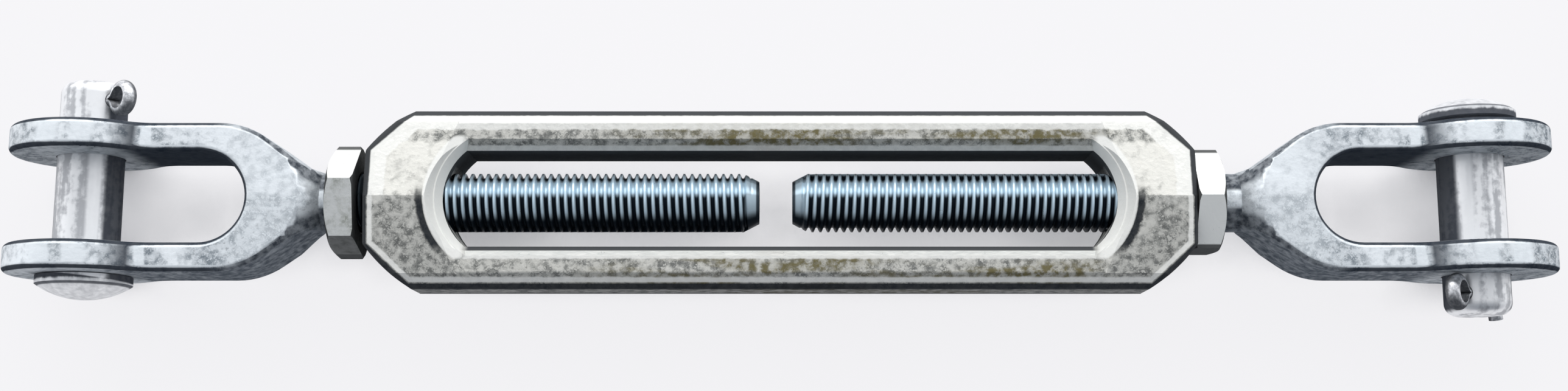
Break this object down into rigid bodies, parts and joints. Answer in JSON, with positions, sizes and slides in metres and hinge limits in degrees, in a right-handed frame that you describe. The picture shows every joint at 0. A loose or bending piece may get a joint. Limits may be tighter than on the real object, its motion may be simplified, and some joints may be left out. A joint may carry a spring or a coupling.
{
  "type": "jaw and jaw turnbuckle",
  "caption": "Open-frame turnbuckle of galvanised steel, with right and left hand screws, lock nuts, and forked jaws closed by clevis pins and split pins.",
  "frame": {"origin": "the middle of the frame's length, on the axis of the two screws", "axes": "+X along the screws to the jaw with the left hand screw, +Y along the clevis pins to the split pin of the left jaw, +Z out of the open window"},
  "size_m": [0.499, 0.0778, 0.05],
  "materials": {
    "galvanised_frame": "hot-dip galvanised, mottled",
    "galvanised_nut": "hot-dip galvanised, plain",
    "galvanised_jaw": "hot-dip galvanised, bluish, finely mottled",
    "zinc_pin": "zinc coated, drawn bar",
    "zinc_wire": "zinc coated wire"
  },
  "bodies": {
    "frame": {"turnbuckle_frame": "galvanised_frame"},
    "left_nut": {"left_lock_nut": "galvanised_nut"},
    "right_nut": {"right_lock_nut": "galvanised_nut"},
    "left_fork": {"left_jaw": "galvanised_jaw"},
    "right_fork": {"right_jaw": "galvanised_jaw"},
    "left_pin": {"left_clevis_pin": "zinc_pin", "left_split_pin": "zinc_wire"},
    "right_pin": {"right_clevis_pin": "zinc_pin", "right_split_pin": "zinc_wire"}
  },
  "joints": [
    {"name": "left_screw_turn", "type": "hinge", "parent": "frame", "child": "left_nut", "pos_m": [-0.14, 0, 0], "axis": [-1, 0, 0], "range_deg": [-360, 14040]},
    {"name": "right_screw_turn", "type": "hinge", "parent": "frame", "child": "right_nut", "pos_m": [0.137, 0, 0], "axis": [-1, 0, 0], "range_deg": [-360, 14040]},
    {"name": "left_jaw_travel", "type": "slide", "parent": "left_nut", "child": "left_fork", "axis": [-1, 0, 0], "range_m": [-0.00254, 0.09906]},
    {"name": "right_jaw_travel", "type": "slide", "parent": "right_nut", "child": "right_fork", "axis": [1, 0, 0], "range_m": [-0.00254, 0.09906]},
    {"name": "left_pin_turn", "type": "hinge", "parent": "left_fork", "child": "left_pin", "pos_m": [-0.2245, 0, 0], "axis": [0, 1, 0], "continuous": true},
    {"name": "right_pin_turn", "type": "hinge", "parent": "right_fork", "child": "right_pin", "pos_m": [0.2245, 0, 0], "axis": [0, 1, 0], "continuous": true}
  ],
  "couplings": [
    {"joint": "right_screw_turn", "follows": "left_screw_turn", "ratio": 1},
    {"joint": "left_jaw_travel", "follows": "left_screw_turn", "m_per_rad": 0.00040425},
    {"joint": "right_jaw_travel", "follows": "left_screw_turn", "m_per_rad": 0.00040425}
  ]
}
